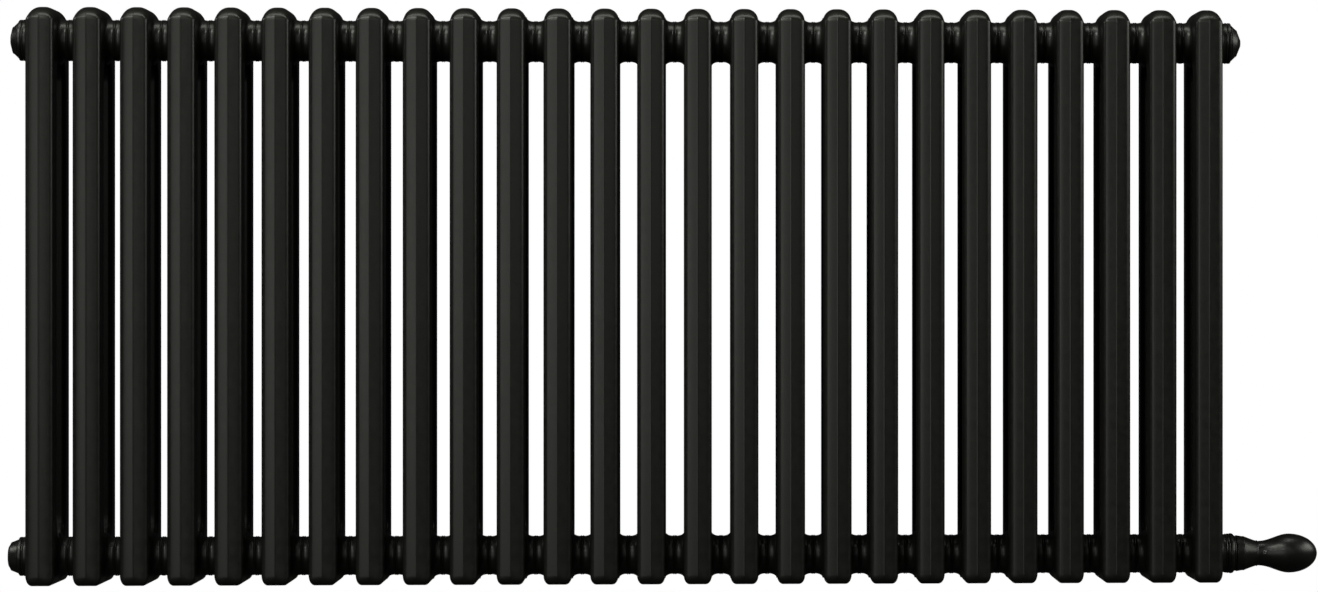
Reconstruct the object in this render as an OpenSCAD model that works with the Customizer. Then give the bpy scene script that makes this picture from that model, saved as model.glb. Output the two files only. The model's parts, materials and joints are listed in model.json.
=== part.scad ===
// Sectional cast iron radiator with an axial valve and an egg-shaped head.
// Millimetres. +X runs along the headers to the valve, +Y points to the wall, +Z is up.
// The origin is on the top header's axis, in the seam at the middle of the length,
// where the centre wall hook carries the radiator.

/* [Block] */
// Number of cast sections, an even number
section_count = 26; // [8:2:26]
// Length of one section along the header
section_pitch = 45; // [42:0.5:50]
// Distance between the top and bottom header axes
header_distance = 500; // [300:10:900]
// Thickness of the flat gasket in each seam
seam_gap = 1; // [0.6:0.1:1.5]

/* [Section] */
// Width of a column across its flat sides
column_w = 27; // [25:0.5:29]
// Depth of one column from ridge to ridge
column_d = 28; // [26:0.5:30]
// Distance between the front and rear column centres
column_spacing = 70; // [62:1:80]
// Slope of the two front facets away from the middle ridge, in degrees
facet_angle = 9; // [5:1:14]
// Radius of the column's upright corners
corner_r = 5; // [3.5:0.5:5.5]
// Height of the head above the top header axis
head_h = 31; // [29:0.5:34]
// Flat underside below the bottom header axis
foot_h = 26; // [24:0.5:30]
// Casting wall thickness of the columns
wall_t = 4; // [3:0.25:4.5]

/* [Hubs] */
// Radius of the top hub faces
hub_r_top = 19.6; // [19:0.1:21]
// Radius of the bottom hub faces
hub_r_bottom = 18.6; // [18.3:0.1:20]
// Fillet where a hub meets the column side
hub_fillet = 4; // [2:0.5:5]
// Wall radius of the hub threads
thread_r = 15.9; // [15.5:0.1:16]
// Radius of the header's water way
header_r = 13.5; // [12:0.5:14]

/* [Valve] */
// Wall radius of the threaded pipe ports
port_r = 9.3; // [9:0.1:9.6]
// Largest radius of the union nut
nut_r = 18.8; // [18:0.1:19.5]
// Radius of the skirt where it starts
skirt_r = 17.2; // [16.6:0.1:18]
// Radius of the neck between skirt and head
neck_r = 12; // [11.6:0.1:12.6]
// Largest radius of the egg-shaped head
egg_r = 19.1; // [18.6:0.1:21]
// Axial travel of the pin each way from the rest setting
pin_travel = 1; // [0.6:0.1:1]

/* [Hidden] */
$fn = 96;
half_w = column_w / 2;
half_d = column_d / 2;
half_s = column_spacing / 2;
outer_y = half_s + half_d;
slot_r = half_s - half_d;
hub_len = section_pitch - seam_gap;
half_hub = hub_len / 2;
z_low = -header_distance;
z_foot = z_low - foot_h;
slot_top = -(slot_r + 18);
slot_low = z_low + slot_r + 18;
head_side_r = 11.5;
head_front_r = 14;
foot_side_r = 6.5;
foot_front_r = 3;
half_block = section_count / 2 * section_pitch - seam_gap / 2;
eps = 0.01;

function two(i) = str(i < 10 ? "0" : "", i);
SECTIONS = [for (i = [1:section_count]) str("section_", two(i))];
FIXED = ["nipples_top", "nipples_bottom", "gaskets_top", "gaskets_bottom", "plug_gaskets",
         "plug_top_left", "bush_bottom_left", "plug_top_right", "vent_screw",
         "tail_gasket", "valve_tail", "union_nut", "valve_body", "seat_ring", "valve_disc",
         "spindle", "return_spring", "bonnet", "bonnet_o_ring", "spindle_o_rings",
         "skirt", "index_mark", "clip_ring", "handle", "grub_screw", "drive_ring", "sensor"];

// ---------- small helpers ----------

// a body of revolution about X, drawn as [x, r] points
module turned(points) {
    rotate([90, 0, 90])
        rotate_extrude()
            polygon([for (p = points) [p[1], p[0]]]);
}

// a 2D outline in Y and Z, extruded along X about the middle
module along_x(length) {
    rotate([90, 0, 90])
        linear_extrude(length, center = true)
            children();
}

// a 2D outline in X and Z, extruded along Y about the middle
module along_y(length) {
    rotate([90, 0, 0])
        linear_extrude(length, center = true)
            children();
}

// a round bar or bore along X from x0 to x1
module rod_x(x0, x1, r) {
    translate([x0, 0, 0])
        rotate([0, 90, 0])
            cylinder(h = x1 - x0, r = r);
}

// a flat ring about X
module ring_x(x0, x1, r_out, r_in) {
    difference() {
        rod_x(x0, x1, r_out);
        rod_x(x0 - 1, x1 + 1, r_in);
    }
}

// ---------- the cast section ----------

// the y where the corner circle sits so that the sloping facet is tangent to it
corner_y = (half_d * cos(facet_angle) - corner_r
            - (half_w - corner_r) * sin(facet_angle)) / cos(facet_angle);
tangent_x = half_w - corner_r + corner_r * sin(facet_angle);
tangent_y = corner_y + corner_r * cos(facet_angle);

// a column seen from above, stretched along Y by the given amount each way
module plan_outline(stretch) {
    polygon([
        [0, half_d + stretch], [tangent_x, tangent_y + stretch], [half_w, corner_y + stretch],
        [half_w, -corner_y - stretch], [tangent_x, -tangent_y - stretch], [0, -half_d - stretch],
        [-tangent_x, -tangent_y - stretch], [-half_w, -corner_y - stretch],
        [-half_w, corner_y + stretch], [-tangent_x, tangent_y + stretch]
    ]);
    for (sx = [-1, 1])
        for (sy = [-1, 1])
            translate([sx * (half_w - corner_r), sy * (corner_y + stretch)])
                circle(r = corner_r);
}

// the section seen from the front: domed head, flat foot with rounded shoulders
module front_outline() {
    union() {
        for (s = [-1, 1]) {
            translate([s * (half_w - head_side_r), head_h - head_side_r])
                circle(r = head_side_r);
            translate([s * (half_w - foot_side_r), z_foot + foot_side_r])
                circle(r = foot_side_r);
        }
        translate([-half_w, z_foot + foot_side_r])
            square([column_w, head_h - head_side_r - z_foot - foot_side_r]);
        translate([-(half_w - foot_side_r), z_foot])
            square([column_w - 2 * foot_side_r, 100]);
        translate([-(half_w - head_side_r), head_h - 100])
            square([column_w - 2 * head_side_r, 100]);
    }
}

// the section seen from the side: upright faces that roll over at the top
module side_outline() {
    union() {
        for (s = [-1, 1]) {
            translate([s * (outer_y - head_front_r), head_h - head_front_r])
                circle(r = head_front_r);
            translate([s * (outer_y - foot_front_r), z_foot + foot_front_r])
                circle(r = foot_front_r);
        }
        translate([-outer_y, z_foot + foot_front_r])
            square([2 * outer_y, head_h - head_front_r - z_foot - foot_front_r]);
        translate([-(outer_y - foot_front_r), z_foot])
            square([2 * (outer_y - foot_front_r), 100]);
        translate([-(outer_y - head_front_r), head_h - 100])
            square([2 * (outer_y - head_front_r), 100]);
    }
}

// the space between the columns, out to the column centre lines
module slot_space() {
    along_x(column_w + 10)
        union() {
            translate([-half_s, slot_low])
                square([column_spacing, slot_top - slot_low]);
            translate([0, slot_top])
                circle(r = half_s);
            translate([0, slot_low])
                circle(r = half_s);
        }
}

// the inner half of a column's plan, at its place in front of or behind the axis
module inner_half() {
    intersection() {
        translate([0, half_s])
            plan_outline(0);
        translate([-half_w - 1, 0])
            square([column_w + 2, half_s + 0.5]);
    }
}

// the inner halves of both columns, joined by an arch at the top and the bottom
module inner_frame() {
    for (a = [0, 180])
        rotate([0, 0, a])
            translate([0, 0, slot_low])
                linear_extrude(slot_top - slot_low)
                    inner_half();
    translate([0, 0, slot_top])
        arch();
    translate([0, 0, slot_low])
        mirror([0, 0, 1])
            arch();
}

// half a turn of the inner half outline about the X axis
module arch() {
    rotate([0, 0, 90])
        rotate([90, 0, 0])
            rotate_extrude(angle = 180)
                rotate([0, 0, -90])
                    inner_half();
}

// a hub stub with a fillet against each flat side of the column
module hub_stub(r) {
    rotate([0, 90, 0])
        rotate_extrude()
            difference() {
                union() {
                    translate([0, -half_hub])
                        square([r, hub_len]);
                    translate([0, -half_w - hub_fillet])
                        square([r + hub_fillet, column_w + 2 * hub_fillet]);
                }
                for (s = [-1, 1])
                    translate([r + hub_fillet, s * (half_w + hub_fillet)])
                        circle(r = hub_fillet);
            }
}

// the water space of one column
module column_bore() {
    w = column_w - 2 * wall_t;
    d = column_d - 2 * wall_t;
    translate([0, 0, z_foot + 5])
        linear_extrude(head_h - 11 - z_foot - 5)
            union() {
                for (sx = [-1, 1])
                    for (sy = [-1, 1])
                        translate([sx * (w / 2 - 4), sy * (d / 2 - 4)])
                            circle(r = 4);
                square([w, d - 8], center = true);
                square([w - 8, d], center = true);
            }
}

module section_body() {
    difference() {
        union() {
            difference() {
                intersection() {
                    translate([0, 0, z_foot - 1])
                        linear_extrude(head_h - z_foot + 2)
                            plan_outline(half_s);
                    along_y(2 * outer_y + 4)
                        front_outline();
                    along_x(column_w + 4)
                        side_outline();
                }
                slot_space();
            }
            inner_frame();
            hub_stub(hub_r_top);
            translate([0, 0, z_low])
                hub_stub(hub_r_bottom);
        }
        for (s = [-1, 1])
            translate([0, s * half_s, 0])
                column_bore();
        for (z = [0, z_low])
            translate([0, 0, z]) {
                rod_x(-half_hub - 1, half_hub + 1, header_r);
                for (a = [0, 180])
                    rotate([0, 0, a])
                        rod_x(half_hub - 14, half_hub + 1, thread_r);
            }
        for (span = [[-12, head_h - 11], [z_foot + 5, z_low + 12]])
            translate([-half_w + wall_t, -half_s, span[0]])
                cube([column_w - 2 * wall_t, column_spacing, span[1] - span[0]]);
    }
}

module section(i) {
    color([0.11, 0.11, 0.10])
        translate([(i - (section_count + 1) / 2) * section_pitch, 0, 0])
            section_body();
}

// ---------- joining parts of the headers ----------

module at_seams(z) {
    for (k = [1:section_count - 1])
        translate([(k - section_count / 2) * section_pitch, 0, z])
            children();
}

// a threaded nipple with two inner lugs for the assembly key
module nipple() {
    ring_x(-13, 13, thread_r - 0.05, 12.6);
    for (a = [0, 180])
        rotate([a, 0, 0])
            translate([-10, -1.5, 11.2])
                cube([20, 3, 1.8]);
}

module nipples(z) {
    color([0.45, 0.44, 0.42])
        at_seams(z)
            nipple();
}

module gaskets(z, r) {
    color([0.05, 0.05, 0.05])
        at_seams(z)
            ring_x(-seam_gap / 2, seam_gap / 2, r - 0.9, thread_r + 0.1);
}

// ---------- end plugs, drawn on the +X end of the top header ----------

face_x = half_block;
flange_x = face_x + seam_gap;
cap_x = flange_x + 3.8;
cap_end = flange_x + 13.4;
cap_round = 5.5;

// flange, groove and rounded cap of every end plug
module plug_solid(r) {
    rotate([90, 0, 90])
        rotate_extrude()
            union() {
                translate([0, face_x - 13])
                    square([thread_r - 0.05, 16]);
                translate([0, flange_x])
                    square([r - 0.6, 3]);
                translate([0, flange_x + 0.6])
                    square([r, 1.8]);
                translate([0, flange_x + 2.9])
                    square([r - 4.2, 1]);
                translate([0, cap_x])
                    square([r - 2.6, cap_end - cap_x - cap_round]);
                translate([0, cap_x])
                    square([r - 2.6 - cap_round, cap_end - cap_x]);
                translate([r - 2.6 - cap_round, cap_end - cap_round])
                    circle(r = cap_round);
            }
}

module plug_gasket(r) {
    ring_x(face_x, face_x + seam_gap, r - 0.9, thread_r + 0.1);
}

module plug_gaskets() {
    color([0.05, 0.05, 0.05]) {
        plug_gasket(hub_r_top);
        rotate([0, 0, 180])
            plug_gasket(hub_r_top);
        translate([0, 0, z_low])
            rotate([0, 0, 180])
                plug_gasket(hub_r_bottom);
    }
}

// blank plug with an inner pocket and a hexagon socket for the key
module plug_top_left() {
    color([0.10, 0.10, 0.09])
        rotate([0, 0, 180])
            difference() {
                plug_solid(hub_r_top);
                rod_x(face_x - 14, cap_x + 1, 11);
                translate([cap_end - 6, 0, 0])
                    rotate([0, 90, 0])
                        cylinder(h = 7, r = 6.9, $fn = 6);
            }
}

// reducing bush whose threaded mouth takes the return pipe
module bush_bottom_left() {
    color([0.10, 0.10, 0.09])
        translate([0, 0, z_low])
            rotate([0, 0, 180])
                difference() {
                    plug_solid(hub_r_bottom);
                    rod_x(face_x - 14, cap_end + 1, 7.5);
                    rod_x(cap_end - 15, cap_end + 1, port_r);
                }
}

vent_r = 3;
vent_seat = cap_x - 1;

// plug with the air vent: threaded hole, seat and weep hole
module plug_top_right() {
    color([0.10, 0.10, 0.09])
        difference() {
            plug_solid(hub_r_top);
            rod_x(face_x - 14, face_x - 2, 11);
            rod_x(face_x - 3, vent_seat + 1, 1.2);
            rod_x(vent_seat, cap_end + 1, vent_r + 0.06);
            translate([cap_end - 3.4, 0, 0])
                rotate([180, 0, 0])
                    cylinder(h = hub_r_top + 4, r = 1);
        }
}

// vent screw with a square for the vent key and a cone that closes the seat
module vent_screw() {
    color([0.72, 0.60, 0.32]) {
        turned([[vent_seat + 0.3, 0], [vent_seat + 0.3, 1.1], [vent_seat + 2, vent_r],
                [cap_end - 4.6, vent_r], [cap_end - 4.6, 0]]);
        translate([cap_end - 4.8, -2, -2])
            cube([4.4, 4, 4]);
    }
}

// ---------- valve, all on the bottom header's axis ----------

v0 = half_block;

module on_valve_axis() {
    translate([v0, 0, z_low])
        children();
}

module tail_gasket() {
    color([0.05, 0.05, 0.05])
        on_valve_axis()
            ring_x(0, 1, hub_r_bottom - 0.9, thread_r + 0.1);
}

// threaded tail: screws into the hub, flange against the gasket, cone nose for the union
module valve_tail() {
    color([0.10, 0.10, 0.09])
        on_valve_axis()
            difference() {
                turned([[-13, 0], [-13, thread_r - 0.05], [1, thread_r - 0.05], [1, nut_r - 0.4],
                        [1.3, nut_r], [2.3, nut_r], [2.6, nut_r - 0.4], [2.6, 12.2], [5.4, 12.2],
                        [5.4, 14.4], [6.4, 14.4], [7.2, 12.6], [7.2, 0]]);
                rod_x(-14, 9, 8.5);
            }
}

// union nut that pulls the body onto the tail
module union_nut() {
    color([0.10, 0.10, 0.09])
        on_valve_axis()
            difference() {
                turned([[3, 0], [3, nut_r - 0.5], [3.5, nut_r], [6.3, nut_r], [6.9, nut_r - 0.6],
                        [6.9, skirt_r - 0.2], [9.1, skirt_r - 0.2], [9.1, 0]]);
                rod_x(2, 5.3, 12.4);
                rod_x(5.2, 10, 14.7);
            }
}

port_u = 18.4;
port_y = 33;
boss_r = port_r + 1.9;
boss_y = 17.3;

// body with the seat bore, the water chamber and the pipe port towards the wall
module valve_body() {
    color([0.62, 0.52, 0.30])
        on_valve_axis()
            difference() {
                union() {
                    turned([[7.3, 0], [7.3, 14.6], [9.2, 14.6], [9.2, 15.3], [16, 15.3],
                            [24, 12.2], [24, 0]]);
                    translate([port_u, 0, 0])
                        rotate([-90, 0, 0]) {
                            translate([0, 0, 12.4])
                                cylinder(h = boss_y + 0.2 - 12.4, r = 9);
                            translate([0, 0, boss_y])
                                cylinder(h = port_y - boss_y, r = boss_r);
                        }
                }
                rod_x(7, 13, 8.2);
                rod_x(12, 21.2, 10.2);
                rod_x(20, 25, 10.6);
                translate([port_u, 0, 0])
                    rotate([-90, 0, 0]) {
                        cylinder(h = port_y, r = 6.5);
                        translate([0, 0, port_y - 15])
                            cylinder(h = 16, r = port_r);
                    }
            }
}

// seat pressed into the body
module seat_ring() {
    color([0.75, 0.76, 0.77])
        on_valve_axis()
            ring_x(9.4, 12, 8.2, 5.8);
}

disc_x = 12 + pin_travel + 0.25;

// rubber disc that closes on the seat
module valve_disc() {
    color([0.06, 0.06, 0.06])
        on_valve_axis()
            ring_x(disc_x, disc_x + 1.6, 7.4, 1.55);
}

pin_end = 42.6;

// pin with the disc carrier, guided in the bonnet
module spindle() {
    color([0.75, 0.76, 0.77])
        on_valve_axis()
            turned([[disc_x - 0.6, 0], [disc_x - 0.6, 1.5], [disc_x + 1.6, 1.5],
                    [disc_x + 1.6, 7.6], [disc_x + 2.8, 7.6], [disc_x + 2.8, 2.5],
                    [pin_end - 0.6, 2.5], [pin_end, 1.9], [pin_end, 0]]);
}

spring_0 = disc_x + 2.8;
spring_1 = 22.2;
turns = 4;

// return spring as rings about the pin, joined by short links on alternate sides
module return_spring() {
    step = (spring_1 - spring_0 - 1.1) / (turns - 1);
    color([0.70, 0.71, 0.72])
        on_valve_axis() {
            for (k = [0:turns - 1])
                translate([spring_0 + 0.55 + k * step, 0, 0])
                    rotate([90, 0, 90])
                        rotate_extrude()
                            translate([4.4, 0])
                                circle(r = 0.5);
            for (k = [0:turns - 2])
                translate([0, 0, (k % 2 == 0 ? 1 : -1) * 4.4])
                    rod_x(spring_0 + 0.55 + k * step, spring_0 + 0.55 + (k + 1) * step, 0.4);
        }
}

stem_r = 9.2;

// bonnet: screws into the body, guides the pin and carries the head on its tube
module bonnet() {
    color([0.62, 0.52, 0.30])
        on_valve_axis()
            difference() {
                turned([[21.3, 0], [21.3, 10.55], [24.1, 10.55], [24.1, 11.4], [26.4, 11.4],
                        [26.4, stem_r], [38.6, stem_r], [38.6, 8.5], [39.6, 8.5],
                        [39.6, stem_r], [40.4, stem_r], [40.4, 0]]);
                rod_x(21, 22.2, 6.2);
                rod_x(20, 45, 2.55);
                for (u = [25, 29])
                    rod_x(u, u + 1.5, 3.95);
                rod_x(33, 45, 5);
            }
}

module bonnet_o_ring() {
    color([0.06, 0.06, 0.06])
        on_valve_axis()
            ring_x(24.1, 24.9, 12.1, 11.45);
}

module spindle_o_rings() {
    color([0.06, 0.06, 0.06])
        on_valve_axis()
            for (u = [25, 29])
                ring_x(u + 0.05, u + 1.45, 3.9, 2.56);
}

skirt_0 = 9.3;
skirt_1 = 16.4;
skirt_2 = 30.8;

// the cone that the index line is let in to, and the line's own slot
module index_slot(play) {
    difference() {
        translate([18.6 - play, -20, 2.5 - play])
            cube([0.9 + 2 * play, 20, 6.5 + 2 * play]);
        turned([[17, 0], [17, skirt_r - 1 - play], [23, skirt_r - 3.22 - play], [23, 0]]);
    }
}

// fixed skirt from the nut to the neck, open at the back for the port
module skirt() {
    color([0.10, 0.10, 0.09])
        on_valve_axis()
            difference() {
                turned([[skirt_0, 0], [skirt_0, skirt_r - 0.5], [skirt_0 + 0.5, skirt_r],
                        [skirt_1, skirt_r], [skirt_2 - 2.5, neck_r + 0.35],
                        [skirt_2, neck_r], [skirt_2, 0]]);
                turned([[skirt_0 - 1, 0], [skirt_0 - 1, 15.4], [skirt_1, 15.4],
                        [25, 12.2], [26.5, 11.5], [skirt_2 - 1.4, 10.4],
                        [skirt_2 - 1.4, 0]]);
                rod_x(20, 35, stem_r + 0.1);
                translate([port_u, 0, 0])
                    rotate([-90, 0, 0])
                        cylinder(h = 40, r = 12.5);
                index_slot(0.03);
            }
}

// short index line let into the front of the skirt
module index_mark() {
    color([0.55, 0.55, 0.53])
        on_valve_axis()
            intersection() {
                turned([[18, 0], [18, skirt_r - 0.56], [22, skirt_r - 2.04], [22, 0]]);
                index_slot(0);
            }
}

module clip_ring() {
    color([0.70, 0.71, 0.72])
        on_valve_axis()
            difference() {
                ring_x(38.7, 39.5, 10.6, 8.52);
                translate([38, -2.5, -12])
                    cube([3, 5, 6]);
            }
}

egg_0 = 31.2;
egg_top = 62.3;
tip_r = 13.1;
tip_x = egg_top + 14.7;
egg_end = tip_x + tip_r;

// radius of the egg from the neck to its fullest point, then to the tip
function rear_r(t) = neck_r + (egg_r - neck_r) * (0.5 - 0.5 * cos(180 * pow(t, 1.08)));
function nose_r(t) = egg_r * sqrt(max(0, 1 - t * t));
rear_steps = 16;
nose_steps = 18;

// egg-shaped hand wheel, hollow for the sensor, turning on the bonnet's tube
module handle() {
    nose_len = egg_end - egg_top;
    color([0.10, 0.10, 0.09])
        on_valve_axis()
            difference() {
                turned(concat(
                    [[egg_0, 0]],
                    [for (k = [0:rear_steps])
                        [egg_0 + (egg_top - egg_0) * k / rear_steps, rear_r(k / rear_steps)]],
                    [for (k = [1:nose_steps])
                        [egg_top + nose_len * sin(90 * k / nose_steps),
                         nose_r(sin(90 * k / nose_steps))]]));
                rod_x(egg_0 - 1, 39, stem_r + 0.06);
                rod_x(38.5, 68, 11.2);
                translate([37, 0, 1.5])
                    rotate([90, 0, 0])
                        cylinder(h = 20, r = 1.55);
            }
}

// set screw in the neck, flush with the surface, with a hexagon socket
module grub_screw() {
    color([0.55, 0.55, 0.54])
        on_valve_axis()
            translate([37, 0, 1.5])
                rotate([90, 0, 0])
                    difference() {
                        translate([0, 0, 9.6])
                            cylinder(h = 3.1, r = 1.52);
                        translate([0, 0, 11.4])
                            cylinder(h = 2, r = 0.8, $fn = 6);
                    }
}

// nut fixed in the head that drives the sensor along the axis
module drive_ring() {
    color([0.62, 0.52, 0.30])
        on_valve_axis()
            ring_x(63, 68, 11.2, 4.25);
}

// expanding sensor that pushes the pin, with its guide stem in the drive nut
module sensor() {
    color([0.78, 0.70, 0.50])
        on_valve_axis()
            turned([[pin_end, 0], [pin_end, 3.6], [44, 3.6], [44, 9.6], [44.6, 10.3],
                    [60.4, 10.3], [61, 9.6], [61, 4.2], [66.4, 4.2], [66.8, 3.8], [66.8, 0]]);
}

// ---------- one line or loop for every node ----------

for (i = [1:section_count])
    section(i);
nipples(0);  // nipples_top
nipples(z_low);  // nipples_bottom
gaskets(0, hub_r_top);  // gaskets_top
gaskets(z_low, hub_r_bottom);  // gaskets_bottom
plug_gaskets();
plug_top_left();
bush_bottom_left();
plug_top_right();
vent_screw();
tail_gasket();
valve_tail();
union_nut();
valve_body();
seat_ring();
valve_disc();
spindle();
return_spring();
bonnet();
bonnet_o_ring();
spindle_o_rings();
skirt();
index_mark();
clip_ring();
handle();
grub_screw();
drive_ring();
sensor();
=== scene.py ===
# %% [markdown]
# # A cast iron column radiator with an axial valve
#
# Twenty-six cast sections stand side by side, joined by threaded nipples and thin
# gaskets. Plugs close three corners, and the fourth carries a valve with an
# egg-shaped head. The frame below brings the finished mechanical parts in their
# places, so this lesson is about surfaces: soft cast edges, satin paint, brass and
# rubber. Every size is in millimetres in the text and is turned into metres once.

# %% Load the frame and read the sizes from it
import json
import math

import bmesh
import bpy
from mathutils import Matrix, Vector, noise


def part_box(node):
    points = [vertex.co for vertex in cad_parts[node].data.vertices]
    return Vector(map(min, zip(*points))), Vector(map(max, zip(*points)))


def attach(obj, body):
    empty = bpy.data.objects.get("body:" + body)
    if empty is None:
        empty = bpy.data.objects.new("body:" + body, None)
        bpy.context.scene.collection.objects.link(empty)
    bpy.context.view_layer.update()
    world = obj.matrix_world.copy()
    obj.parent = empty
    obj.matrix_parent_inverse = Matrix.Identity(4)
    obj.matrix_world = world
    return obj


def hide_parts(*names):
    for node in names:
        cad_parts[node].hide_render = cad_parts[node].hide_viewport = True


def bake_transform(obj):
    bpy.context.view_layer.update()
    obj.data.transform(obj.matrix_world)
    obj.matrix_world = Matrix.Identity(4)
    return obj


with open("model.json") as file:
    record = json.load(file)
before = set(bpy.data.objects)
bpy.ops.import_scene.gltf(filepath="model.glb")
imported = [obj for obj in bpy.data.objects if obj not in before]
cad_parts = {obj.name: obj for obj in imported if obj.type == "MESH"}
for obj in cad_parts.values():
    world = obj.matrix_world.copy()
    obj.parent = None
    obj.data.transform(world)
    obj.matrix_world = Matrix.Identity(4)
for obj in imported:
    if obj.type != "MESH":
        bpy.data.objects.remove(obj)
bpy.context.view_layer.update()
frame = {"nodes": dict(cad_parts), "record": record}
NODES = frame["nodes"]
MM = 0.001

first_low, first_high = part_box("section_01")
second_low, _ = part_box("section_02")
SECTIONS = sorted(n for n in NODES if n.startswith("section_"))
PITCH = round((second_low.x - first_low.x) / MM, 3)
HUB_LENGTH = round((first_high.x - first_low.x) / MM, 3)
FIRST_X = round((first_low.x + first_high.x) / 2 / MM, 3)
HALF_DEPTH = round(first_high.y / MM, 3)
HEAD_TOP = round(first_high.z / MM, 3)
FOOT = round(first_low.z / MM, 3)
BLOCK_END = round(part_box("section_26")[1].x / MM, 3)
print(len(SECTIONS), "sections, pitch", PITCH, "hub to hub", HUB_LENGTH,
      "depth", 2 * HALF_DEPTH, "top", HEAD_TOP, "foot", FOOT)

# %% [markdown]
# ## The camera and the studio
#
# The view is a catalogue maker's: a long lens, level with the middle of the
# radiator and almost square to it. The slight turn and shift put the vanishing
# point right of the middle, so the left sections show their right-hand sides.

# %% Camera
scene = bpy.context.scene
camera_data = bpy.data.cameras.new("catalogue_camera")
camera_data.lens = 101.87
camera_data.sensor_width = 36
camera_data.shift_x = -0.1443
camera_data.clip_end = 60
camera = bpy.data.objects.new("catalogue_camera", camera_data)
camera.location = (0.0753, -3.642, -0.2477)
camera.rotation_euler = (math.radians(90), 0, math.radians(-2.2))
scene.collection.objects.link(camera)
scene.camera = camera
scene.view_settings.view_transform = "Standard"
print("camera at", tuple(round(v, 3) for v in camera.location))

# %% [markdown]
# Black paint shows only what it reflects, so each soft box is there for one streak
# of light. Three stand one above another on the left, like a tall window: the low
# and middle ones brighten the left facets, and the high one lights the shoulders
# of the heads. Two weak ones on the right lift the right facets, a long box
# overhead draws the line on the hubs, and small ones at the sides round off the
# plugs and the valve's nose. All are a touch warm, since black enamel looks blue
# under a neutral lamp. The room is white where the camera sees it and almost
# black for everything else, so the sides between the columns stay dark.

# %% Lights and room
LAMP_TINT = (1.0, 1.0, 0.93)


def soft_box(name, place, aim, size, power):
    data = bpy.data.lights.new(name, "AREA")
    data.shape = "RECTANGLE"
    data.size, data.size_y = size
    data.energy = power
    data.color = LAMP_TINT
    lamp = bpy.data.objects.new(name, data)
    lamp.location = place
    lamp.rotation_mode = "QUATERNION"
    lamp.rotation_quaternion = (Vector(aim) - Vector(place)).to_track_quat("-Z", "Y")
    scene.collection.objects.link(lamp)
    return lamp


LAMPS = {
    # name: (turn from the front, height angle, distance, aim, size, power)
    "left_window_low": (-23, 4, 3.2, (0.0, 0, -0.30), (1.5, 1.1), 7),
    "left_window_mid": (-22, 28, 3.2, (0.0, 0, -0.25), (0.9, 0.9), 9.5),
    "left_window_high": (-31, 50, 3.0, (-0.15, 0, -0.05), (1.1, 0.5), 22),
    "right_window_low": (14, 8, 3.2, (0.0, 0, -0.25), (1.5, 0.9), 1.6),
    "right_window_mid": (8, 28, 3.2, (0.0, 0, -0.25), (0.9, 0.9), 2.0),
    "overhead_box": (0, 86, 2.0, (0.0, 0, 0.0), (2.4, 0.5), 15),
    "right_side_box": (84, 30, 1.9, (0.66, 0, -0.45), (1.0, 1.0), 12),
    "right_corner_box": (56, 26, 2.2, (0.62, 0, -0.45), (0.9, 0.9), 6),
    "left_side_box": (-80, 30, 1.9, (-0.6, 0, -0.1), (0.8, 0.8), 10),
}
for name, (turn_angle, rise, away, aim, size, power) in LAMPS.items():
    t, r = math.radians(turn_angle), math.radians(rise)
    offset = Vector((math.sin(t) * math.cos(r), -math.cos(t) * math.cos(r), math.sin(r)))
    soft_box(name, Vector(aim) + offset * away, aim, size, power)

world = bpy.data.worlds.new("white_room")
scene.world = world
world.use_nodes = True
room = world.node_tree
room.nodes.clear()
seen = room.nodes.new("ShaderNodeBackground")
seen.inputs["Color"].default_value = (1, 1, 1, 1)
seen.inputs["Strength"].default_value = 1.0
felt = room.nodes.new("ShaderNodeBackground")
felt.inputs["Color"].default_value = (0.96, 0.98, 1, 1)
felt.inputs["Strength"].default_value = 0.012
ray = room.nodes.new("ShaderNodeLightPath")
blend = room.nodes.new("ShaderNodeMixShader")
room_out = room.nodes.new("ShaderNodeOutputWorld")
room.links.new(ray.outputs["Is Camera Ray"], blend.inputs["Fac"])
room.links.new(felt.outputs[0], blend.inputs[1])
room.links.new(seen.outputs[0], blend.inputs[2])
room.links.new(blend.outputs[0], room_out.inputs["Surface"])

# %% [markdown]
# ## Shared surface effects
#
# Each effect is a node group, so one idea serves many finishes. The first is the
# skin of a coated casting: a fine orange peel on top of the slow unevenness
# that the sand mould leaves. It gives a height for the bump and a mottling mask.

# %% Helpers for node groups
def group_socket(group, name, kind, way, value=None):
    socket = group.interface.new_socket(name=name, in_out=way, socket_type=kind)
    if value is not None:
        socket.default_value = value
    return socket


def start_group(name, inputs, outputs):
    group = bpy.data.node_groups.new(name, "ShaderNodeTree")
    for label, kind, value in inputs:
        group_socket(group, label, kind, "INPUT", value)
    for label, kind in outputs:
        group_socket(group, label, kind, "OUTPUT")
    return (group, group.nodes.new("NodeGroupInput"),
            group.nodes.new("NodeGroupOutput"))


def add_node(tree, kind, **settings):
    node = tree.nodes.new(kind)
    for key, value in settings.items():
        if key in node.inputs:
            node.inputs[key].default_value = value
        else:
            setattr(node, key, value)
    return node


def noise_field(tree, vector, scale, detail, roughness=0.5):
    field = add_node(tree, "ShaderNodeTexNoise", Scale=scale, Detail=detail,
                     Roughness=roughness)
    tree.links.new(vector, field.inputs["Vector"])
    return field


def arithmetic(tree, operation, a, b=None, clamp=False):
    node = tree.nodes.new("ShaderNodeMath")
    node.operation = operation
    node.use_clamp = clamp
    for i, v in enumerate((a, b)):
        if v is None:
            continue
        if isinstance(v, (int, float)):
            node.inputs[i].default_value = v
        else:
            tree.links.new(v, node.inputs[i])
    return node.outputs[0]


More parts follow.
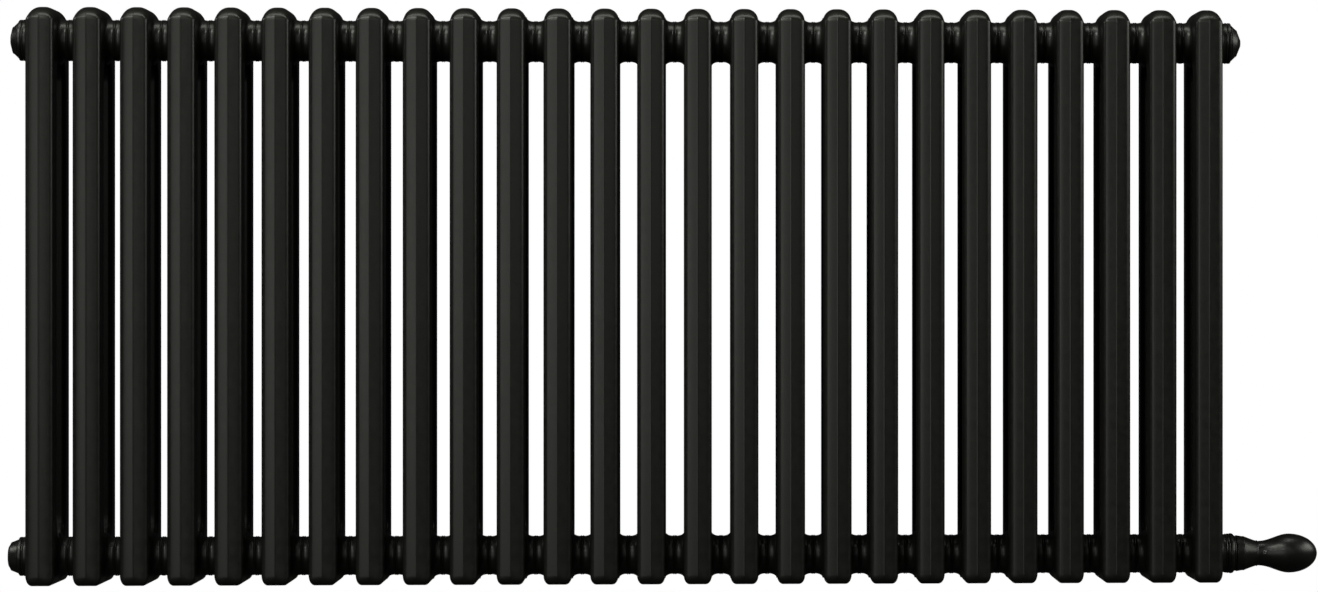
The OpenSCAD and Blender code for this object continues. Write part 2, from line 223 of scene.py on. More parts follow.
def map_range(tree, value, low, high, to_low, to_high):
    node = add_node(tree, "ShaderNodeMapRange")
    tree.links.new(value, node.inputs["Value"])
    for key, v in zip(("From Min", "From Max", "To Min", "To Max"),
                      (low, high, to_low, to_high)):
        if isinstance(v, (int, float)):
            node.inputs[key].default_value = v
        else:
            tree.links.new(v, node.inputs[key])
    return node.outputs["Result"]


# %% [markdown]
# The skin adds three noises of falling size: the slow swell of the mould, the grain
# of its sand, and the peel of the sprayed paint. The swell could be modelled in
# the mesh, but a bump costs nothing and never shows steps.

# %% Coated casting skin
coat, given, made = start_group(
    "coated_skin",
    [("Vector", "NodeSocketVector", None), ("Peel Scale", "NodeSocketFloat", 900.0),
     ("Waviness", "NodeSocketFloat", 0.5)],
    [("Height", "NodeSocketFloat"), ("Mottle", "NodeSocketFloat")])
peel = add_node(coat, "ShaderNodeTexNoise", Detail=2.0, Roughness=0.45)
coat.links.new(given.outputs["Vector"], peel.inputs["Vector"])
coat.links.new(given.outputs["Peel Scale"], peel.inputs["Scale"])
sand = noise_field(coat, given.outputs["Vector"], 150, 3.0, 0.55)
slow = noise_field(coat, given.outputs["Vector"], 42, 1.5, 0.4)
slow_part = arithmetic(coat, "MULTIPLY", slow.outputs["Fac"],
                       given.outputs["Waviness"])
sand_part = arithmetic(coat, "MULTIPLY", sand.outputs["Fac"], 0.35)
peel_part = arithmetic(coat, "MULTIPLY", peel.outputs["Fac"], 0.22)
height = arithmetic(coat, "ADD", arithmetic(coat, "ADD", slow_part, sand_part),
                    peel_part)
coat.links.new(height, made.inputs["Height"])
mottle = map_range(coat, sand.outputs["Fac"], 0.35, 0.65, 0.0, 1.0)
coat.links.new(mottle, made.inputs["Mottle"])
print("group", coat.name)

# %% [markdown]
# Paint is thinnest where an edge is sharpest, and hands polish those edges first.
# A normal rounded by a millimetre differs from the true one only near an edge, so
# the gap between the two is a mask for wear. Noise breaks it up.

# %% Edge wear
wear, given, made = start_group(
    "edge_wear",
    [("Vector", "NodeSocketVector", None), ("Radius", "NodeSocketFloat", 0.001)],
    [("Mask", "NodeSocketFloat")])
true_normal = wear.nodes.new("ShaderNodeNewGeometry")
rounded = wear.nodes.new("ShaderNodeBevel")
rounded.samples = 4
wear.links.new(given.outputs["Radius"], rounded.inputs["Radius"])
turned = wear.nodes.new("ShaderNodeVectorMath")
turned.operation = "DOT_PRODUCT"
wear.links.new(rounded.outputs["Normal"], turned.inputs[0])
wear.links.new(true_normal.outputs["Normal"], turned.inputs[1])
edge = map_range(wear, turned.outputs["Value"], 0.995, 0.90, 0.0, 1.0)
broken = noise_field(wear, given.outputs["Vector"], 260, 4.0, 0.6)
broken_mask = map_range(wear, broken.outputs["Fac"], 0.42, 0.62, 0.0, 1.0)
wear.links.new(arithmetic(wear, "MULTIPLY", edge, broken_mask), made.inputs["Mask"])
print("group", wear.name)

# %% [markdown]
# A little dust lies on faces that look up. The mask is the upward part of the
# normal, broken by noise so that it never looks sprayed on.

# %% Settled dust
dust, given, made = start_group(
    "settled_dust", [("Vector", "NodeSocketVector", None)],
    [("Mask", "NodeSocketFloat")])
facing = dust.nodes.new("ShaderNodeNewGeometry")
parts = dust.nodes.new("ShaderNodeSeparateXYZ")
dust.links.new(facing.outputs["Normal"], parts.inputs[0])
upward = map_range(dust, parts.outputs["Z"], 0.55, 1.0, 0.0, 1.0)
patchy = noise_field(dust, given.outputs["Vector"], 75, 5.0, 0.65)
patches = map_range(dust, patchy.outputs["Fac"], 0.40, 0.72, 0.0, 1.0)
dust.links.new(arithmetic(dust, "MULTIPLY", upward, patches), made.inputs["Mask"])
print("group", dust.name)

# %% [markdown]
# Turned metal carries the fine spiral of the cutting tool. All turned parts here
# share the X direction as their axis, so bands along X are their tool marks.

# %% Tool marks
marks, given, made = start_group(
    "tool_marks",
    [("Vector", "NodeSocketVector", None), ("Scale", "NodeSocketFloat", 900.0)],
    [("Height", "NodeSocketFloat"), ("Tone", "NodeSocketFloat")])
bands = add_node(marks, "ShaderNodeTexWave", Distortion=0.6, Detail=2.0)
bands.bands_direction = "X"
marks.links.new(given.outputs["Vector"], bands.inputs["Vector"])
marks.links.new(given.outputs["Scale"], bands.inputs["Scale"])
tarnish = noise_field(marks, given.outputs["Vector"], 190, 4.0, 0.6)
marks.links.new(bands.outputs["Fac"], made.inputs["Height"])
marks.links.new(map_range(marks, tarnish.outputs["Fac"], 0.35, 0.68, 0.0, 1.0),
                made.inputs["Tone"])
print("group", marks.name)

# %% [markdown]
# ## Finishes
#
# A painted finish mixes two close tones by the mottling, shows a greyer tone where
# the wear mask is strong, and a pale one under the dust. Roughness follows the
# same masks, and the bump comes from the skin's height. The plain numbers, such as
# the specular level, are set on the shader itself.

# %% Painted finishes
def start_material(name):
    material = bpy.data.materials.new(name)
    material.use_nodes = True
    tree = material.node_tree
    shader = tree.nodes["Principled BSDF"]
    place = tree.nodes.new("ShaderNodeTexCoord")
    return material, tree, shader, place.outputs["Object"]


def use_group(tree, group, vector, **values):
    node = tree.nodes.new("ShaderNodeGroup")
    node.node_tree = group
    tree.links.new(vector, node.inputs["Vector"])
    for key, value in values.items():
        node.inputs[key.replace("_", " ")].default_value = value
    return node


def mix_colour(tree, mask, a, b):
    node = tree.nodes.new("ShaderNodeMix")
    node.data_type = "RGBA"
    tree.links.new(mask, node.inputs["Factor"])
    for socket, value in (("A", a), ("B", b)):
        target = next(s for s in node.inputs if s.name == socket and s.type == "RGBA")
        if isinstance(value, tuple):
            target.default_value = (*value, 1)
        else:
            tree.links.new(value, target)
    return next(s for s in node.outputs if s.type == "RGBA")


def add_bump(tree, shader, height, strength, distance):
    bump = add_node(tree, "ShaderNodeBump", Strength=strength, Distance=distance)
    tree.links.new(height, bump.inputs["Height"])
    tree.links.new(bump.outputs["Normal"], shader.inputs["Normal"])


def painted(name, deep, light, worn, gloss, peel_scale, waviness, bump, wear_amount,
            wear_radius, dust_amount, specular=0.5):
    material, tree, shader, vector = start_material(name)
    skin = use_group(tree, coat, vector, Peel_Scale=peel_scale, Waviness=waviness)
    edges = use_group(tree, wear, vector, Radius=wear_radius * MM)
    settled = use_group(tree, dust, vector)
    base = mix_colour(tree, skin.outputs["Mottle"], deep, light)
    worn_mask = arithmetic(tree, "MULTIPLY", edges.outputs["Mask"], wear_amount)
    base = mix_colour(tree, worn_mask, base, worn)
    dusty = arithmetic(tree, "MULTIPLY", settled.outputs["Mask"], dust_amount)
    base = mix_colour(tree, dusty, base, (0.16, 0.155, 0.14))
    tree.links.new(base, shader.inputs["Base Color"])
    rough = map_range(tree, skin.outputs["Mottle"], 0, 1, gloss[0], gloss[1])
    rough = arithmetic(tree, "ADD", rough,
                       arithmetic(tree, "MULTIPLY", dusty, 0.5), clamp=True)
    tree.links.new(rough, shader.inputs["Roughness"])
    shader.inputs["Specular IOR Level"].default_value = specular
    add_bump(tree, shader, skin.outputs["Height"], bump, 0.0004)
    return material


casting_paint = painted("satin_black_casting", (0.0114, 0.0115, 0.0098),
                        (0.0150, 0.0151, 0.0130), (0.042, 0.042, 0.038),
                        (0.29, 0.35), 1100.0, 0.6, 0.13, 0.24, 0.9, 0.03)
plug_paint = painted("satin_black_plug", (0.0100, 0.0101, 0.0092),
                     (0.0128, 0.0129, 0.0118), (0.045, 0.045, 0.042),
                     (0.30, 0.36), 1400.0, 0.3, 0.08, 0.4, 0.6, 0.03)
valve_paint = painted("satin_black_valve", (0.0075, 0.0075, 0.0070),
                      (0.0098, 0.0098, 0.0090), (0.045, 0.044, 0.040),
                      (0.29, 0.34), 1800.0, 0.2, 0.035, 0.5, 0.5, 0.015)
head_finish = painted("black_head", (0.0066, 0.0066, 0.0063),
                      (0.0082, 0.0082, 0.0078), (0.03, 0.03, 0.028),
                      (0.31, 0.36), 2200.0, 0.25, 0.018, 0.4, 0.5, 0.01)
index_paint = painted("index_line_paint", (0.085, 0.085, 0.08), (0.11, 0.11, 0.105),
                      (0.16, 0.16, 0.15), (0.45, 0.55), 2500.0, 0.1, 0.1, 0.4, 0.2,
                      0.0)
print("painted finishes:", [m.name for m in bpy.data.materials if "black" in m.name])

# %% [markdown]
# Bare metals need a tone that wanders with tarnish and the tool's bands in the
# bump. Rubber needs neither: it is dull, with a faint bloom and a pebbled surface.

# %% Metals and rubber
def bare_metal(name, clean, aged, gloss, scale, bump):
    material, tree, shader, vector = start_material(name)
    lines = use_group(tree, marks, vector, Scale=scale)
    edges = use_group(tree, wear, vector, Radius=0.4 * MM)
    base = mix_colour(tree, lines.outputs["Tone"], clean, aged)
    bright = tuple(min(1.0, c * 1.15) for c in clean)
    base = mix_colour(tree, edges.outputs["Mask"], base, bright)
    tree.links.new(base, shader.inputs["Base Color"])
    tree.links.new(map_range(tree, lines.outputs["Tone"], 0, 1, *gloss),
                   shader.inputs["Roughness"])
    shader.inputs["Metallic"].default_value = 1.0
    add_bump(tree, shader, lines.outputs["Height"], bump, 0.0001)
    return material


def rubber(name, tone, bloom):
    material, tree, shader, vector = start_material(name)
    skin = use_group(tree, coat, vector, Peel_Scale=3200.0, Waviness=0.2)
    base = mix_colour(tree, skin.outputs["Mottle"], tone, bloom)
    tree.links.new(base, shader.inputs["Base Color"])
    tree.links.new(map_range(tree, skin.outputs["Mottle"], 0, 1, 0.72, 0.9),
                   shader.inputs["Roughness"])
    add_bump(tree, shader, skin.outputs["Height"], 0.3, 0.0002)
    return material


FINISH = {
    "cast_body": casting_paint,
    "plug_paint": plug_paint,
    "valve_paint": valve_paint,
    "head_plastic": head_finish,
    "index_paint": index_paint,
    "gasket": rubber("gasket_fibre", (0.012, 0.012, 0.012), (0.022, 0.022, 0.021)),
    "seal_rubber": rubber("seal_rubber", (0.015, 0.015, 0.015), (0.03, 0.03, 0.03)),
    "nipple_iron": bare_metal("nipple_iron", (0.33, 0.32, 0.30), (0.17, 0.14, 0.12),
                              (0.4, 0.62), 700.0, 0.3),
    "valve_brass": bare_metal("turned_brass", (0.78, 0.60, 0.30), (0.52, 0.37, 0.17),
                              (0.22, 0.42), 1300.0, 0.25),
    "vent_brass": bare_metal("vent_brass", (0.80, 0.63, 0.33), (0.58, 0.42, 0.20),
                             (0.20, 0.36), 1600.0, 0.2),
    "inner_steel": bare_metal("stainless_steel", (0.62, 0.61, 0.59),
                              (0.47, 0.46, 0.44), (0.18, 0.32), 1500.0, 0.2),
    "set_screw": bare_metal("blackened_steel", (0.20, 0.20, 0.20),
                            (0.11, 0.11, 0.11), (0.28, 0.42), 1500.0, 0.2),
    "sensor_metal": bare_metal("sensor_capsule", (0.72, 0.66, 0.52),
                               (0.55, 0.48, 0.34), (0.25, 0.40), 1000.0, 0.2),
}

# %% [markdown]
# ## Tools for making pieces
#
# Most fittings are bodies of revolution. Their outline is a list of points along
# the axis and out from it, with a radius asked for on each corner, because no real
# edge is knife sharp. Turning that outline in many fine steps gives clean quads.
#
# Known fault: slerp gives arms of unit length, so each corner's arc is drawn with a
# radius of one millimetre, whatever was asked for. Small corners stand out as lips,
# and large ones come out nearly as a chamfer. Scaling each arm to the corner's
# radius cures it.

# %% Outlines with soft corners
def soften(points, steps=4):
    """Points are (along, out) or (along, out, corner radius), in millimetres."""
    result = []
    for i, point in enumerate(points):
        radius = point[2] if len(point) > 2 else 0
        here = Vector(point[:2])
        if not radius or i in (0, len(points) - 1):
            result.append(tuple(here))
            continue
        before = Vector(points[i - 1][:2]) - here
        after = Vector(points[i + 1][:2]) - here
        angle = before.angle(after)
        if angle > math.radians(178):
            result.append(tuple(here))
            continue
        back = min(radius / math.tan(angle / 2), before.length * 0.49,
                   after.length * 0.49)
        radius = back * math.tan(angle / 2)
        middle = here + (before.normalized() + after.normalized()).normalized() \
            * (radius / math.sin(angle / 2))
        start = here + before.normalized() * back - middle
        end = here + after.normalized() * back - middle
        for k in range(steps + 1):
            t = k / steps
            arm = start.slerp(end, t) if start.angle(end) > 1e-4 else start
            result.append(tuple(middle + arm))
    return result


def thread(start, end, crest, depth, pitch):
    """A run of rounded thread ridges as outline points."""
    count = max(1, int(abs(end - start) / pitch))
    step = (end - start) / count
    points = []
    for k in range(count):
        at = start + k * step
        points += [(at, crest - depth), (at + step * 0.35, crest),
                   (at + step * 0.65, crest)]
    return points + [(end, crest - depth)]


# %% [markdown]
# A lathe needs only an outline and an axis, and so does the next function. The
# others place a mesh, cut or join two, and hand the result to the body it moves
# with. The exact Boolean is slower than a remesh, but it keeps true cylinders.

# %% Turning an outline, and making an object
def turn(outline, steps=72, closed=False):
    """A mesh of revolution about X from (along, out) points."""
    bm = bmesh.new()
    rings = []
    for along, out in outline:
        if out < 1e-6:
            rings.append([bm.verts.new((along * MM, 0, 0))])
            continue
        rings.append([bm.verts.new((along * MM,
                                    -out * MM * math.cos(2 * math.pi * k / steps),
                                    out * MM * math.sin(2 * math.pi * k / steps)))
                      for k in range(steps)])
    pairs = list(zip(rings, rings[1:]))
    if closed:
        pairs.append((rings[-1], rings[0]))
    for a, b in pairs:
        for k in range(steps):
            n = (k + 1) % steps
            corners = [a[k % len(a)], a[n % len(a)], b[n % len(b)], b[k % len(b)]]
            unique = list(dict.fromkeys(corners))
            if len(unique) > 2:
                bm.faces.new(unique)
    bmesh.ops.recalc_face_normals(bm, faces=bm.faces)
    return bm


def shifted(bm, matrix):
    bmesh.ops.transform(bm, matrix=matrix, verts=bm.verts)
    bmesh.ops.recalc_face_normals(bm, faces=bm.faces)
    return bm


def as_object(name, bm, finish=None):
    mesh = bpy.data.meshes.new(name)
    bm.to_mesh(mesh)
    bm.free()
    obj = bpy.data.objects.new(name, mesh)
    scene.collection.objects.link(obj)
    if finish:
        mesh.materials.append(FINISH[finish])
    return obj


def carve(obj, tool, operation="DIFFERENCE"):
    """Boolean with a tool object, applied at once; the tool is removed."""
    modifier = obj.modifiers.new("carve", "BOOLEAN")
    modifier.operation = operation
    modifier.solver = "EXACT"
    modifier.object = tool
    bpy.context.view_layer.update()
    graph = bpy.context.evaluated_depsgraph_get()
    carved = bpy.data.meshes.new_from_object(obj.evaluated_get(graph))
    obj.modifiers.clear()
    old = obj.data
    obj.data = carved
    carved.name = old.name
    bpy.data.meshes.remove(old)
    bpy.data.objects.remove(tool)
    return obj


def polish(obj, sharp=32):
    """Smooth shading with real edges kept, and flat faces kept flat."""
    obj.data.shade_smooth()
    obj.data.set_sharp_from_angle(angle=math.radians(sharp))
    modifier = obj.modifiers.new("even_shading", "WEIGHTED_NORMAL")
    modifier.keep_sharp = True
    modifier.weight = 60
    return obj


def fit(obj, body, finish, *nodes, sharp=32):
    """Polish a piece, let it ride on its body and stand for its CAD nodes."""
    polish(obj, sharp)
    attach(obj, body)
    if nodes:
        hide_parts(*nodes)
    print(obj.name, "-", len(obj.data.polygons), "faces on", body)
    return obj


# %% [markdown]
# ## The cast section
#
# A section is one casting: two upright columns, a domed head, a flat foot and a
# slot between the columns. Seen from above, a column is a flat-sided bar with two
# gently sloping facets that meet in a ridge. It could be cut from solids, but the
# facets must melt into the dome, so it is swept instead: a closed outline is
# carried round the slot, and its outer half changes shape on the way. The fine
# raised bead on the ridge stands for the mould's parting line.

# %% The outline's changing outer half
HALF_WIDTH = 13.5
COLUMN = 28.0
FACET = math.radians(9)
CORNER = 5.0
SLOT_RADIUS = HALF_DEPTH - COLUMN
SLOT_TOP, SLOT_LOW = -39.0, -461.0
CORNER_X = HALF_WIDTH - CORNER
CORNER_IN = CORNER / math.cos(FACET) + CORNER_X * math.tan(FACET)
BEAD = 0.2


def smooth(t):
    t = max(0.0, min(1.0, t))
    return t * t * (3 - 2 * t)


def ridge_outline(fine):
    """(across, depth below the crest) of the faceted front of a column."""
    flat_end = CORNER_X + CORNER * math.sin(FACET)
    across = (0, 0.22, 0.45, 0.75, 1.2, 2.0, 4.0, 6.5, flat_end) if fine \
        else (0, 0.8, 2.0, 5.0, flat_end)
    soft = 0.9
    points = []
    for x in across:
        fall = (math.hypot(x, soft) - soft) * math.tan(FACET)
        if fine:
            fall += BEAD * (1 - math.exp(-(x / 0.42) ** 2)) * (1 - smooth(x / 7))
        points.append((x, fall))
    depth = CORNER_IN
    turns = 8 if fine else 5
    for k in range(1, turns + 1):
        a = math.radians(90) - FACET - (math.radians(90) - FACET) * k / turns
        points.append((CORNER_X + CORNER * math.cos(a), depth - CORNER * math.sin(a)))
    points.append((HALF_WIDTH, depth + 0.9))
    return points


def round_outline(count_flat, turns, flat, across, deep):
    """A flat middle and an elliptical shoulder, matched point for point."""
    points = []
    for k in range(count_flat):
        t = k / (count_flat - 1)
        points.append((flat * t, 0.0))
    for k in range(1, turns + 1):
        a = math.radians(90) * k / turns
        points.append((flat + across * math.sin(a), deep * (1 - math.cos(a))))
    points.append((HALF_WIDTH, deep + 0.9))
    return points


RIDGE = ridge_outline(True)
RIDGE_IN = ridge_outline(False)
DOME = round_outline(5, len(RIDGE) - 6, 1.9, HALF_WIDTH - 1.9, 11.5)
SOLE = round_outline(9, len(RIDGE) - 10, 7.6, HALF_WIDTH - 7.6, 8.4)
print("outline points:", len(RIDGE), len(DOME), len(SOLE), "inner", len(RIDGE_IN))


# %% [markdown]
# The stations run down the front half, from the middle of the dome to the middle
# of the sole, and each knows its place on the outer edge and on the slot's edge.
# The head is arched from front to back, so its corner is a long ellipse, and the
# foot's is a plain quarter circle. The rear half is the same, mirrored.

# %% Stations round the slot
HEAD_ROLL = (30.0, 14.0)    # back from the front face, down from the top
FOOT_ROLL = (9.5, 9.5)


def corner_stations(roll, level, middle, up):
    """Stations of the head or the foot: (outer, outer normal, inner, inner normal, mix)."""
    back, down = roll
    edge = HALF_DEPTH - back
    stations = []
    places = [(-edge * k / 7, level, 0.0, up, 1.0) for k in range(7)]
    for k in range(13):
        a = math.radians(90) * (1 - k / 12)
        slope = Vector((-math.cos(a) / back, up * math.sin(a) / down)).normalized()
        places.append((-edge - back * math.cos(a), level - up * down * (1 - math.sin(a)),
                       slope.x, slope.y, smooth(math.sin(a) * 1.04)))
    straight = middle - (level - up * down)
    places += [(-HALF_DEPTH, level - up * down + straight * k / 7, -1.0, 0.0, 0.0)
               for k in range(1, 7)]
    for y, z, ny, nz, mix in places:
        reach = Vector((y, z - middle)).normalized()
        stations.append(((y, z), (ny, nz),
                         (reach.x * SLOT_RADIUS, middle + reach.y * SLOT_RADIUS),
                         (reach.x, reach.y), mix))
    return stations


head = corner_stations(HEAD_ROLL, HEAD_TOP, SLOT_TOP, 1)
foot = corner_stations(FOOT_ROLL, FOOT, SLOT_LOW, -1)[::-1]
COLUMN_STEPS = 40
shaft = [((-HALF_DEPTH, SLOT_TOP + (SLOT_LOW - SLOT_TOP) * k / COLUMN_STEPS), (-1.0, 0.0),
          (-SLOT_RADIUS, SLOT_TOP + (SLOT_LOW - SLOT_TOP) * k / COLUMN_STEPS),
          (-1.0, 0.0), 0.0) for k in range(COLUMN_STEPS + 1)]
front = ([(s, DOME) for s in head] + [(s, DOME) for s in shaft]
         + [(s, SOLE) for s in foot])
mirror = [(((-o[0], o[1]), (-n[0], n[1]), (-i[0], i[1]), (-m[0], m[1]), w), other)
          for (o, n, i, m, w), other in front[::-1][1:-1]]
STATIONS = front + mirror
print(len(STATIONS), "stations round the slot")


# %% [markdown]
# Each station lays down one closed loop of points. A casting is never perfectly
# true, so the points sink by up to a seventh of a millimetre in slow waves.

# %% Sweep the section
def section_mesh():
    bm = bmesh.new()
    loops = []
    for (outer, normal, inner, away, mix), other in STATIONS:
        loop = []

        def lay(x, y, z):
            loop.append(bm.verts.new((x * MM, y * MM, z * MM)))

        blended = [((1 - mix) * a[0] + mix * b[0], (1 - mix) * a[1] + mix * b[1])
                   for a, b in zip(RIDGE, other)]
        for x, fall in [(-x, f) for x, f in blended[::-1]] + blended[1:]:
            wave = 0.07 * (1 + noise.noise(Vector((x / 26 + 5, outer[0] / 30,
                                                   outer[1] / 60))))
            sink = fall + (wave if fall < 5 else wave * 0.3)
            lay(x, outer[0] - normal[0] * sink, outer[1] - normal[1] * sink)
        for x, fall in RIDGE_IN[::-1] + [(-x, f) for x, f in RIDGE_IN[1:]]:
            lay(x, inner[0] + away[0] * fall, inner[1] + away[1] * fall)
        loops.append(loop)
    count = len(loops[0])
    for a, b in zip(loops, loops[1:] + loops[:1]):
        for k in range(count):
            n = (k + 1) % count
            bm.faces.new((a[k], a[n], b[n], b[k]))
    bmesh.ops.remove_doubles(bm, verts=bm.verts, dist=1e-6)
    bmesh.ops.recalc_face_normals(bm, faces=bm.faces)
    return bm


casting = as_object("section_casting", section_mesh(), "cast_body")
print("swept casting:", len(casting.data.polygons), "faces")

# %% [markdown]
# The hubs are short filleted tubes that meet the next section's. They join the
# casting with a Boolean, and the water way with its threaded mouths is cut out.

# %% Hubs and bores
HUB_FACE = HUB_LENGTH / 2
FLARE_LONG, FLARE_OUT = 7.0, 4.0
THREAD_R = 15.9
BORE_R = 13.5


def hub_outline(radius):
    half = [(HUB_FACE, 0), (HUB_FACE, radius, 0.45),
            (HALF_WIDTH + FLARE_LONG, radius)]
    for k in range(1, 13):
        a = math.radians(90) * k / 12
        half.append((HALF_WIDTH + FLARE_LONG * (1 - math.sin(a)),
                     radius + FLARE_OUT * (1 - math.cos(a))))
    half.append((HALF_WIDTH - 0.8, radius + FLARE_OUT + 0.3))
    return soften(half + [(-p[0], *p[1:]) for p in half[::-1]], 3)


def bore_outline():
    mouth = HUB_FACE - 14
    half = [(HUB_FACE + 1, 0), (HUB_FACE + 1, THREAD_R + 0.8),
            (HUB_FACE - 0.9, THREAD_R - 0.3)]
    half += thread(HUB_FACE - 1.2, mouth + 1.2, THREAD_R, 0.7, 2.3)
    half += [(mouth, BORE_R)]
    return half + [(-x, r) for x, r in half[::-1]]


HUBS = {"top": (0.0, 19.6), "bottom": (-500.0, 18.6)}
for name, (level, radius) in HUBS.items():
    lift = Matrix.Translation((0, 0, level * MM))
    hub = as_object("hub", shifted(turn(hub_outline(radius), 64), lift))
    carve(casting, hub, "UNION")
for name, (level, radius) in HUBS.items():
    lift = Matrix.Translation((0, 0, level * MM))
    carve(casting, as_object("bore", shifted(turn(bore_outline(), 48), lift)))
print("casting with hubs:", len(casting.data.polygons), "faces")

# %% [markdown]
# One mesh serves all twenty-six sections, as one pattern serves the foundry.

# %% Place the sections
casting_mesh = casting.data
bpy.data.objects.remove(casting)
casting_mesh.shade_smooth()
casting_mesh.set_sharp_from_angle(angle=math.radians(34))
for index, node in enumerate(SECTIONS):
    section = bpy.data.objects.new("casting_" + node[-2:], casting_mesh)
    scene.collection.objects.link(section)
    section.location = ((FIRST_X + index * PITCH) * MM, 0, 0)
    even = section.modifiers.new("even_shading", "WEIGHTED_NORMAL")
    even.keep_sharp, even.weight = True, 60
    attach(section, "radiator")
    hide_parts(node)
print("sections placed from", FIRST_X, "to", FIRST_X + (len(SECTIONS) - 1) * PITCH)

# %% [markdown]
# ## Gaskets
#
# A thin fibre ring sits in every seam, a little below the hub's edge, so a seam
# reads as a fine dark line. Its outer edge bulges where the joint squeezes it.

# %% Rings for the seams and for the plugs
SEAM = PITCH - HUB_LENGTH


def gasket_outline(radius):
    half = SEAM / 2
    return [(-half, THREAD_R + 0.15), (-half, radius - 1.05),
            (-half * 0.6, radius - 0.93), (0, radius - 0.9),
            (half * 0.6, radius - 0.93), (half, radius - 1.05),
            (half, THREAD_R + 0.15)]


def ring_set(name, places, nodes):
    whole = bmesh.new()
    for x, level, radius in places:
        ring = shifted(turn(gasket_outline(radius), 64, closed=True),
                       Matrix.Translation((x * MM, 0, level * MM)))
        part = bpy.data.meshes.new("part")
        ring.to_mesh(part)
        ring.free()
        whole.from_mesh(part)
        bpy.data.meshes.remove(part)
    return fit(as_object(name, whole, "gasket"), "radiator", "gasket", *nodes)


seams = [FIRST_X + PITCH * (k + 0.5) for k in range(len(SECTIONS) - 1)]
for name, (level, radius) in HUBS.items():
    ring_set(f"seam_gaskets_{name}", [(x, level, radius) for x in seams],
             [f"gaskets_{name}"])
plug_seam = BLOCK_END + SEAM / 2
ring_set("end_gaskets", [(-plug_seam, *HUBS["top"]), (plug_seam, *HUBS["top"]),
                         (-plug_seam, *HUBS["bottom"])], ["plug_gaskets"])

# %% [markdown]
# ## End plugs
#
# Each plug is a turned part: a thread that goes into the hub, a flange against
# the gasket, a narrow groove and a cap. The real cap is rounded, and this one is
# nearly conical, because of the fault told above. The blank one has a hexagon
# socket, the bush has the mouth for the return pipe, and the third holds the
# air vent with its square key.

# %% Plug blanks
FLANGE = BLOCK_END + 1.0
CAP_END = FLANGE + 13.4


def plug_outline(radius, mouth):
    """mouth lists the outline points from the cap's face inwards to the axis."""
    return soften(
        [(FLANGE - 14, 0), (FLANGE - 14, THREAD_R - 1.2, 0.4)]
        + thread(FLANGE - 13.2, FLANGE - 1.2, THREAD_R - 0.06, 0.8, 2.3)
        + [(FLANGE, THREAD_R - 0.9), (FLANGE, radius, 0.7),
           (FLANGE + 3.0, radius, 0.7), (FLANGE + 3.0, radius - 4.0, 0.3),
           (FLANGE + 3.8, radius - 4.0, 0.3), (FLANGE + 3.8, radius - 2.6, 0.5),
           (CAP_END, radius - 2.6, 5.4)] + mouth, 6)


def prism(sides, radius, x0, x1, twist=0.0):
    bm = bmesh.new()
    ends = [[bm.verts.new((x * MM, radius * MM * math.cos(twist + 2 * math.pi * k / sides),
                           radius * MM * math.sin(twist + 2 * math.pi * k / sides)))
             for k in range(sides)] for x in (x0, x1)]
    bm.faces.new(ends[0])
    bm.faces.new(ends[1])
    for k in range(sides):
        n = (k + 1) % sides
        bm.faces.new((ends[0][k], ends[0][n], ends[1][n], ends[1][k]))
    bmesh.ops.recalc_face_normals(bm, faces=bm.faces)
    return bm


def plug(name, bm, level, side, node):
    place = Matrix.Translation((0, 0, level * MM))
    if side < 0:
        place = place @ Matrix.Rotation(math.pi, 4, "Z")
    piece = as_object(name, bm, "plug_paint")
    piece.data.transform(place)
    return fit(piece, "radiator", "plug_paint", node)


top_level, top_radius = HUBS["top"]
low_level, low_radius = HUBS["bottom"]
blank = as_object("blank", turn(plug_outline(top_radius, [(CAP_END, 0)])))
carve(blank, as_object("key", prism(6, 6.9, CAP_END - 6, CAP_END + 1)))
carve(blank, as_object("chamfer", turn([(CAP_END - 0.7, 0), (CAP_END - 0.7, 5.9),
                                        (CAP_END + 0.6, 7.4), (CAP_END + 0.6, 0)])))
blank_mesh = bmesh.new()
blank_mesh.from_mesh(blank.data)
bpy.data.objects.remove(blank)
plug("blank_plug", blank_mesh, top_level, -1, "plug_top_left")

# %% [markdown]
# The bush's mouth has a pipe thread, cut as rings: a helix would look the same from
# outside, and rings keep the mesh closed. The vent plug's bore ends in a seat, and
# a small weep hole below it lets the air out downwards, away from the hand.

# %% The return bush and the vent plug
PORT_R = 9.3
mouth = [(CAP_END, PORT_R + 0.7), (CAP_END - 0.8, PORT_R)]
mouth += [(x, r) for x, r in thread(CAP_END - 1.4, CAP_END - 14, PORT_R, 0.7, 1.8)]
mouth += [(CAP_END - 15, 7.5), (FLANGE - 14, 7.5), (FLANGE - 14, 7.6)]
bush_points = plug_outline(low_radius, mouth)[1:]
plug("return_bush", turn(bush_points, closed=True), low_level, -1, "bush_bottom_left")

VENT_R = 3.0
VENT_SEAT = FLANGE + 2.8
mouth = [(CAP_END, VENT_R + 0.5), (CAP_END - 0.5, VENT_R + 0.08),
         (VENT_SEAT, VENT_R + 0.08), (VENT_SEAT, 1.2), (FLANGE - 14, 1.2),
         (FLANGE - 14, 1.3)]
vent_plug = as_object("vent_blank", turn(plug_outline(top_radius, mouth)[1:],
                                         closed=True))
weep = shifted(prism(24, 1.0, -25, 0), Matrix.Translation(((CAP_END - 3.4) * MM, 0, 0))
               @ Matrix.Rotation(math.radians(-90), 4, "Y"))
carve(vent_plug, as_object("weep", weep))
vent_mesh = bmesh.new()
vent_mesh.from_mesh(vent_plug.data)
bpy.data.objects.remove(vent_plug)
plug("vent_plug", vent_mesh, top_level, 1, "plug_top_right")

# %% [markdown]
# The vent's screw turns on its own, so it is its own piece on its own body. A
# square key end stands out of the plug, with its corners broken.

